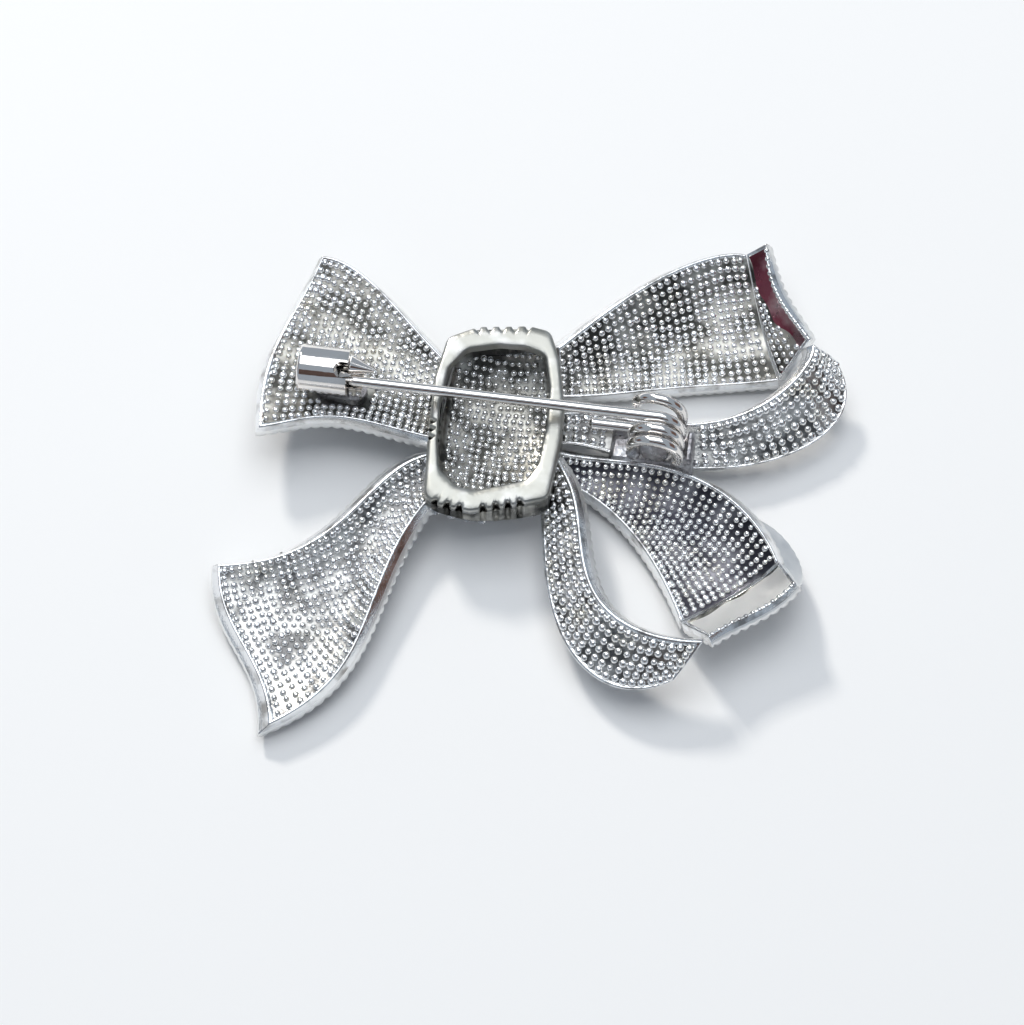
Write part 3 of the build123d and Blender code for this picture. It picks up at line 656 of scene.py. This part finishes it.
def beaded_apron(body, sheet, reach):
    """Beaded ground that the leaf carries up into the fold, higher towards one side."""
    start = 0.06
    across = np.linspace(0.03, 0.97, 60)
    share, v = np.meshgrid(np.linspace(0, 1, 8), across, indexing="ij")
    height = reach * v + 0.05 * np.sin(17 * v)
    u = start + share * np.clip(height, 0.02, 0.9)
    lift = 1 - share[..., None] ** 6
    body.grid(sheet.point(u, v) + sheet.normal(u, v) * 0.05 * lift, APRON_SLOT, flip=sheet.side < 0)
    tops = sheet.point(start + np.clip(reach * across, 0.02, 0.9), across)
    centres, normals = bead_spots(sheet, 0.66, 0.55)
    nearest = [np.linalg.norm(tops - c, axis=1).argmin() for c in centres]
    low = np.array([c[2] < tops[k][2] - 0.15 for c, k in zip(centres, nearest)])
    body.stamp(BEAD, centres[low], normals[low], FOLD_BEAD, CAST_SLOT)


def edge_beads(body, sheet):
    """Row of small beads along the free edge of a fold."""
    count = int(sheet.width(1.0) / 0.68)
    v = np.linspace(0.05, 0.95, count)
    u = np.full(count, 0.965)
    body.stamp(BEAD, sheet.point(u, v), sheet.normal(u, v), FOLD_EDGE_BEAD, CAST_SLOT)


def cast_fold(name, grid, node, inside, reach):
    """Smooth turned-up end of a loop with a serrated outer edge and a beaded lower corner."""
    sheet = Sheet(grid)
    body = Mesh()
    ribbon(body, sheet, FOLD_THICKNESS, rim=0.3, lip=0.06, scallop=(SCALLOP_PITCH, 0.3), bulge=0.2)
    beaded_apron(body, sheet, reach)
    edge_beads(body, sheet)
    # Slot 2, the inner face, takes a painted red reflection on the upper fold and plain satin metal on the
    # lower. Slot 4, the apron, takes the painted-shade ground between its beads.
    obj = body.make(name, [SMOOTH, SMOOTH, inside, EDGE, SHADED_BEAD_GROUND])
    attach(obj, "bow")
    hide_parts(node)


cast_fold("upper_fold_cast", UPPER_FOLD, "upper_loop_fold", PAINTED_RED_REFLECTION, 0.72)
cast_fold("lower_fold_cast", LOWER_FOLD, "lower_loop_fold", SATIN, 0.12)


def fold_border():
    """Scalloped outer side of the lower fold, which stands out beyond the loop's edge."""
    leaf = Sheet(LOWER_LEAF)
    t = np.linspace(0, 1, 160)
    u = 0.74 + 0.26 * t
    v = np.full(160, 0.05)
    inner = leaf.point(u, v) - leaf.normal(u, v) * 0.9
    outer = weights(len(BORDER), t) @ np.array(BORDER, float)
    s = distances(outer)
    way = (outer - inner) / np.linalg.norm(outer - inner, axis=1, keepdims=True)
    scallop = BORDER_SCALLOP * np.abs(np.sin(np.pi * s / SCALLOP_PITCH)) ** SCALLOP_ROUNDNESS
    edge = outer + way * scallop[:, None]
    down = np.array([0, 0, -0.35])
    rows = [inner, inner * 0.6 + outer * 0.4, outer, edge, edge + down, outer + down * 2, inner + down * 2]
    body = Mesh()
    body.grid(np.array(rows))
    obj = body.make("lower_fold_border", [EDGE])
    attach(obj, "bow")


fold_border()

# ---------------------------------------------------------------- knot


def corner_arc(before, corner, after, radius, steps=7):
    """Points of the arc that rounds one corner of an outline."""
    back_way = unit(before - corner)
    on_way = unit(after - corner)
    angle = math.acos(float(np.clip(back_way @ on_way, -1, 1)))
    reach = radius / math.tan(angle / 2)
    centre = corner + unit(back_way + on_way) * (radius / math.sin(angle / 2))
    start = corner + back_way * reach - centre
    end = corner + on_way * reach - centre
    first = math.atan2(start[1], start[0])
    last = math.atan2(end[1], end[0])
    turn = (last - first + math.pi) % (2 * math.pi) - math.pi
    angles = [first + turn * k / steps for k in range(steps + 1)]
    return [centre + radius * np.array([math.cos(a), math.sin(a)]) for a in angles]


def rounded_loop(corners, radius):
    """Closed outline with rounded corners and points at even steps between them."""
    corners = np.array(corners, float)
    after = np.roll(corners, -1, axis=0)
    arcs = [corner_arc(corners[i - 1], corners[i], after[i], radius) for i in range(len(corners))]
    points = []
    for i, arc in enumerate(arcs):
        points.extend(arc)
        start = arc[-1]
        way = arcs[(i + 1) % len(arcs)][0] - start
        count = max(2, int(np.linalg.norm(way) / EDGE_STEP))
        for k in range(1, count):
            points.append(start + way * k / count)
    return np.array(points)


def inset_loop(loop, amount):
    """Outline moved inwards by an amount, which may differ from point to point."""
    along = np.roll(loop, -1, axis=0) - np.roll(loop, 1, axis=0)
    along /= np.linalg.norm(along, axis=1, keepdims=True)
    inwards = np.stack([-along[:, 1], along[:, 0]], axis=1)
    if ((loop.mean(axis=0) - loop) * inwards).sum() < 0:
        inwards = -inwards
    return loop + inwards * np.broadcast_to(amount, (len(loop),))[:, None]


def knot_height(x, y, lift=0.0):
    """Height of the cushion-shaped front of the knot."""
    sides = KNOT_RISE_SIDES * (x / KNOT_HALF_WIDTH) ** 2
    ends = KNOT_RISE_MIDDLE * (y / KNOT_HALF_HEIGHT) ** 2 + KNOT_RISE_ENDS * (y / KNOT_HALF_HEIGHT) ** 4
    return KNOT_FRONT_LOW + lift + sides + ends


def knot_slope(x, y):
    """Slopes of that front along X and along Y."""
    slope_x = 2 * KNOT_RISE_SIDES * x / KNOT_HALF_WIDTH**2
    middle = 2 * KNOT_RISE_MIDDLE * y / KNOT_HALF_HEIGHT**2
    return slope_x, middle + 4 * KNOT_RISE_ENDS * y**3 / KNOT_HALF_HEIGHT**4


def inside_outline(x, y, margin):
    """True where a point is inside the outline of the knot by at least a margin."""
    for i, (ax, ay) in enumerate(KNOT_OUTLINE):
        bx, by = KNOT_OUTLINE[(i + 1) % len(KNOT_OUTLINE)]
        length = math.hypot(bx - ax, by - ay)
        if ((by - ay) * (x - ax) - (bx - ax) * (y - ay)) / length < margin:
            return False
    return True


def at_height(loop, z):
    """Points of an outline, all at one height or each at its own."""
    return np.column_stack([loop, np.broadcast_to(z, (len(loop),))])


def fill_rows(loop, lift, steps=10):
    """Rings from an outline to its centre, on the cushion shape or lifted above it."""
    centre = loop.mean(axis=0)
    rows = []
    for k in range(steps + 1):
        ring = centre + (loop - centre) * (1 - k / steps * 0.999)
        rows.append(at_height(ring, knot_height(ring[:, 0], ring[:, 1], lift)))
    return np.array(rows)


def notches(loop, depth):
    """How far each point of the outline is cut in by the nicks along three of its sides."""
    cut = np.zeros(len(loop))
    for side, row in ((1, KNOT_NOTCHES_UPPER), (-1, KNOT_NOTCHES_LOWER)):
        for x in row:
            near = np.clip(1.6 - np.abs(loop[:, 0] - x) / NICK_HALF_WIDTH, 0, 1)
            cut = np.maximum(cut, near * (loop[:, 1] * side > 7.0))
    for y in KNOT_NICKS_LEFT:
        near = np.clip(1.5 - np.abs(loop[:, 1] - y) / NICK_HALF_WIDTH, 0, 1)
        cut = np.maximum(cut, near * (loop[:, 0] < -4.0))
    return depth * cut


OUTER = rounded_loop(KNOT_OUTLINE, KNOT_CORNER_RADIUS)
OPENING = rounded_loop(KNOT_OPENING, KNOT_CORNER_RADIUS)


def knot_outside(body):
    """Side wall with its scallops and nicks, and the cushion-shaped front."""
    scallop = 0.13 * np.abs(np.sin(OUTER[:, 0] * math.pi / 1.05)) * (np.abs(OUTER[:, 1]) > 6.0)
    nick = notches(OUTER, 0.55) + scallop
    base = knot_height(OUTER[:, 0], OUTER[:, 1])
    rows = [at_height(inset_loop(OUTER, 0.02), KNOT_UNDER + 0.02)]
    for k in np.linspace(0, 1, 7):
        wall = inset_loop(OUTER, 0.01 + nick * (1 - 0.4 * k))
        rows.append(at_height(wall, KNOT_UNDER - 0.05 + (base + 0.25 - KNOT_UNDER) * k))
    rows.append(at_height(inset_loop(OUTER, 0.12), base + 0.08))
    rows.append(at_height(inset_loop(OUTER, 0.35), base))
    body.grid(np.array(rows), RIM_SLOT, loop=True, flip=True)
    body.grid(fill_rows(inset_loop(OUTER, 0.3), 0.0), CAST_SLOT, loop=True, flip=True)


def knot_inside(body):
    """Side wall and floor of the hollow."""
    inner = inset_loop(OUTER, KNOT_WALL)
    floor = knot_height(inner[:, 0], inner[:, 1], KNOT_WALL)
    rows = [at_height(inner, KNOT_UNDER)]
    for k in np.linspace(0, 1, 6):
        rows.append(at_height(inner, KNOT_UNDER - 0.1 + (floor + 0.5 - KNOT_UNDER + 0.1) * k))
    rows.append(at_height(inset_loop(inner, 0.15), floor + 0.15))
    rows.append(at_height(inset_loop(inner, 0.5), floor))
    body.grid(np.array(rows), BACK_SLOT, loop=True)
    body.grid(fill_rows(inset_loop(inner, 0.4), KNOT_WALL), BACK_SLOT, loop=True)


def knot_beads(body):
    """Beads on the floor of the hollow, every second row moved a little sideways."""
    spots = []
    ways = []
    for i in range(-9, 10):
        for j in range(-14, 15):
            x = KNOT_MIDDLE[0] + i * 0.68 + (0.0 if j % 2 else 0.12)
            y = KNOT_MIDDLE[1] + j * 0.64
            if inside_outline(x, y, KNOT_WALL + 0.26):
                slope_x, slope_y = knot_slope(x, y)
                spots.append((x, y, knot_height(x, y, KNOT_WALL)))
                ways.append((-slope_x, -slope_y, 1))
    spots = np.array(spots) + RNG.normal(0, KNOT_BEAD_PLACE_SPREAD, (len(spots), 3))
    body.stamp(BEAD, spots, ways, KNOT_BEAD, CAST_SLOT)


def knot_gems(body, stones):
    """Stones in straight rows over the front of the knot."""
    for i in range(-4, 5):
        for j in range(-7, 8):
            x = KNOT_MIDDLE[0] + i * STONE_PITCH
            y = KNOT_MIDDLE[1] + j * STONE_PITCH
            if inside_outline(x, y, KNOT_STONE_MARGIN):
                slope_x, slope_y = knot_slope(x, y)
                normal = unit(np.array([slope_x, slope_y, -1]))
                put_stone(stones, body, np.array([x, y, knot_height(x, y)]), normal)


def knot_cast():
    """Hollow cushion: side walls, beaded floor inside, stones outside."""
    body = Mesh()
    stones = Mesh()
    knot_outside(body)
    knot_inside(body)
    knot_beads(body)
    knot_gems(body, stones)
    # The side wall and the floor of the hollow take the painted-shade ground: their darkness stands in for
    # shade.
    obj = body.make("knot_cast", [CAST, SHADED_BEAD_GROUND, SHADED_BEAD_GROUND])
    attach(obj, "bow")
    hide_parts("knot_shell")
    gems = stones.make("knot_gems", [GLASS], smooth=False)
    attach(gems, "bow")
    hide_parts("knot_stones")


def facet_drop(loop, seed):
    """Small height change of the hand-polished frame, one value for each facet round it."""
    values = np.random.default_rng(seed).uniform(0.0, FACET_DROP, FACETS)
    angle = np.arctan2(loop[:, 1], loop[:, 0])
    place = (angle + math.pi) / (2 * math.pi) * FACETS
    index = np.floor(place).astype(int) % FACETS
    blend = np.clip((place - np.floor(place)) * 6 - 5, 0, 1)
    return values[index] * (1 - blend) + values[(index + 1) % FACETS] * blend


def knot_rim():
    """Polished frame round the open back: broad facets with narrow rounded edges."""
    top = KNOT_FRAME_TOP
    nick = notches(OUTER, 0.42)
    ways = np.arctan2(OUTER[:, 1], OUTER[:, 0])
    angles = np.arctan2(OPENING[:, 1], OPENING[:, 0])
    order = np.argsort(angles)

    def match(loop):
        """Points of the opening's outline in the directions of the outer points."""
        x = np.interp(ways, angles[order], loop[order, 0], period=2 * math.pi)
        y = np.interp(ways, angles[order], loop[order, 1], period=2 * math.pi)
        return np.column_stack([x, y])

    opening = match(OPENING)
    start = match(inset_loop(OPENING, -0.16))
    end = inset_loop(OUTER, 0.22 + nick)
    inner_drop = facet_drop(start, 3)
    outer_drop = facet_drop(OUTER, 5)
    rows = [
        at_height(opening, KNOT_UNDER),
        at_height(opening, top - 0.26),
        at_height(opening * 0.7 + start * 0.3, top - 0.12 - inner_drop * 0.8),
        at_height(start, top - 0.02 - inner_drop),
    ]
    for k in (0.33, 0.66):
        rows.append(at_height(start * (1 - k) + end * k, top - inner_drop * (1 - k) - outer_drop * k))
    rows += [
        at_height(end, top - 0.02 - outer_drop),
        at_height(inset_loop(OUTER, 0.08 + nick), top - 0.12 - outer_drop),
        at_height(inset_loop(OUTER, nick), top - 0.32),
        at_height(inset_loop(OUTER, nick), KNOT_UNDER),
        at_height(inset_loop(OUTER, 0.6 + nick), KNOT_UNDER),
    ]
    rows.append(rows[0])
    body = Mesh()
    body.grid(np.array(rows), loop=True)
    obj = body.make("knot_rim", [RIM_SILVER])
    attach(obj, "bow")
    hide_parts("knot_frame")


knot_cast()
knot_rim()

# ---------------------------------------------------------------- pin and catch


def lumpy(segments, rings):
    """Uneven half-round blob of unit radius and height."""
    points, faces = dome(segments, rings, 0.5)
    angle = np.arctan2(points[:, 1], points[:, 0])
    grow = 1 + 0.05 * np.sin(3 * angle) + 0.04 * np.sin(7 * angle + 1.0)
    points[:, :2] *= grow[:, None]
    points[:, 2] *= 1 - 0.10 * np.abs(np.sin(4 * angle + 3 * points[:, 2]))
    return points, faces


def pad_height(x, y):
    """Top of the solder pad: low pad, wall at its right end, a ridge for the leg, and lumps."""
    low_side = np.where(x > 16.4, -1.85, -1.25)
    edge = np.minimum.reduce([x - PAD_X[0], PAD_X[1] - x, PAD_Y[1] - y, (y - low_side) * 1.4])
    height = PAD_FOOT + 0.86 * np.clip(edge / 0.45, 0, 1) ** 0.5
    wall = np.clip(1.15 - np.abs(x - 17.0) / 0.42, 0, 1) * np.clip(edge / 0.25, 0, 1)
    height = height + 2.05 * np.clip(wall * 2.2, 0, 1) * np.clip((1.6 - y) / 0.3, 0, 1)
    leg = np.clip(1.2 - np.abs(y - 1.65) / 0.4, 0, 1) * np.clip((12.0 - x) / 0.5, 0, 1)
    height = height + 0.16 * leg
    lumps = np.sin(x * 4.1 + 1.3 * np.sin(y * 3.3)) * np.sin(y * 5.2 + 0.8 * np.sin(x * 2.7))
    fine = np.sin(x * 9.7 + y * 3.1) * np.sin(y * 11.3 - x * 2.2)
    height = height - 0.05 - 0.05 * np.abs(lumps) - 0.03 * np.abs(fine)
    return np.where(edge <= 0.01, PAD_FOOT - 0.3, height)


def solder_pad():
    """Lumpy solder: the pad, its upturned end and the blobs that hold the last turn."""
    body = Mesh()
    lump = lumpy(36, 9)
    x, y = np.meshgrid(np.linspace(*PAD_X, 90), np.linspace(*PAD_Y, 60), indexing="ij")
    body.grid(np.stack([x, y, pad_height(x, y)], axis=-1))
    for spot, size in SOLDER_BLOBS:
        body.stamp(lump, [spot], [(0, -1, 0.25)], size)
    obj = body.make("solder_pad", [SOLDER])
    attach(obj, "bow")
    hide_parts("hinge_pad")


solder_pad()

# The wire and the catch keep their CAD solids and take only a material.
CAD_MATERIALS = {
    "pin_needle": WIRE,
    "pin_spring": WIRE,
    "pin_spring_end": WIRE,
    "catch_core": WIRE,
    "catch_sleeve": WIRE,
    "catch_base": SOLDER,
}
for node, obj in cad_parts.items():
    if node in CAD_MATERIALS:
        obj.data.materials.clear()
        obj.data.materials.append(CAD_MATERIALS[node])

# ---------------------------------------------------------------- stage


def plain(name, colour, rough):
    """Plain matt material."""
    material, nodes, links, shader = new_material(name)
    shader.inputs["Base Color"].default_value = (*colour, 1)
    shader.inputs["Roughness"].default_value = rough
    return material


def corners_of(w, h):
    """Corners of a flat rectangle about the origin, from its half sizes."""
    return [(-w, -h, 0), (w, -h, 0), (w, h, 0), (-w, h, 0)]


def rectangle(name, corners, material):
    """Flat stage piece with four corners."""
    mesh = bpy.data.meshes.new(name)
    mesh.from_pydata(corners, [], [[0, 1, 2, 3]])
    mesh.materials.append(material)
    obj = bpy.data.objects.new(name, mesh)
    bpy.context.scene.collection.objects.link(obj)
    return obj


def flag(name, centre, size, material):
    """Card that faces the brooch, seen only in reflections."""
    middle = Vector(centre)
    turn = (FLAG_AIM - middle).normalized().to_track_quat("Z", "Y")
    corners = [middle + turn @ Vector(corner) for corner in corners_of(size[0] / 2, size[1] / 2)]
    obj = rectangle(name, corners, material)
    obj.visible_camera = False


TABLE_HALF = 1.5
FLAG_AIM = Vector((0, 0, 0.004))
ROOM_COLOUR = (0.76, 0.87, 1.0, 1)
ROOM_STRENGTH = 0.42
TABLE = plain("white_table", (0.89, 0.89, 0.885), 0.60)
DARK = plain("dark_flag", (0.09, 0.055, 0.045), 0.9)
WARM = plain("brown_flag", (0.16, 0.09, 0.07), 0.9)

rectangle("table", corners_of(TABLE_HALF, TABLE_HALF), TABLE)

world = bpy.data.worlds.new("room")
bpy.context.scene.world = world
world.use_nodes = True
background = world.node_tree.nodes["Background"]
background.inputs["Color"].default_value = ROOM_COLOUR
background.inputs["Strength"].default_value = ROOM_STRENGTH


def window(name, place, size, energy, colour):
    """Soft rectangular light that faces the brooch."""
    light = bpy.data.lights.new(name, "AREA")
    light.shape = "RECTANGLE"
    light.size = size[0]
    light.size_y = size[1]
    light.energy = energy
    light.color = colour
    obj = bpy.data.objects.new(name, light)
    obj.location = place
    obj.rotation_euler = (Vector((0, 0, 0)) - obj.location).to_track_quat("-Z", "Y").to_euler()
    bpy.context.scene.collection.objects.link(obj)


window("window", (-0.54, 0.80, 0.76), (0.18, 0.16), 6.9, (1.0, 0.955, 0.89))
window("ceiling_light", (-0.04, 0.16, 0.62), (0.62, 0.54), 2.30, (0.965, 0.98, 1.0))

flag("flag_behind_camera", (0.03, -0.44, 0.40), (0.60, 0.26), DARK)
flag("flag_left", (-0.60, -0.10, 0.22), (0.34, 0.22), WARM)
flag("flag_right", (0.55, 0.05, 0.26), (0.5, 0.26), WARM)

# ---------------------------------------------------------------- camera

ELEVATION = math.radians(65.0)
AZIMUTH = math.radians(7.5)
DISTANCE = 0.280
SENSOR_WIDTH = 36.0
LENS = 113.15
AIM = Vector(np.array([2.3, -8.2, 5.0]) + LAYOUT_SHIFT) * MM

level = math.cos(ELEVATION)
back = Vector((math.sin(AZIMUTH) * level, -math.cos(AZIMUTH) * level, math.sin(ELEVATION)))
camera = bpy.data.cameras.new("camera")
camera.sensor_width = SENSOR_WIDTH
camera.lens = LENS
camera.clip_start = 0.01
camera_obj = bpy.data.objects.new("camera", camera)
camera_obj.location = AIM + back * DISTANCE
camera_obj.rotation_euler = back.to_track_quat("Z", "Y").to_euler()
bpy.context.scene.collection.objects.link(camera_obj)
bpy.context.scene.camera = camera_obj
bpy.context.scene.view_settings.view_transform = "Standard"
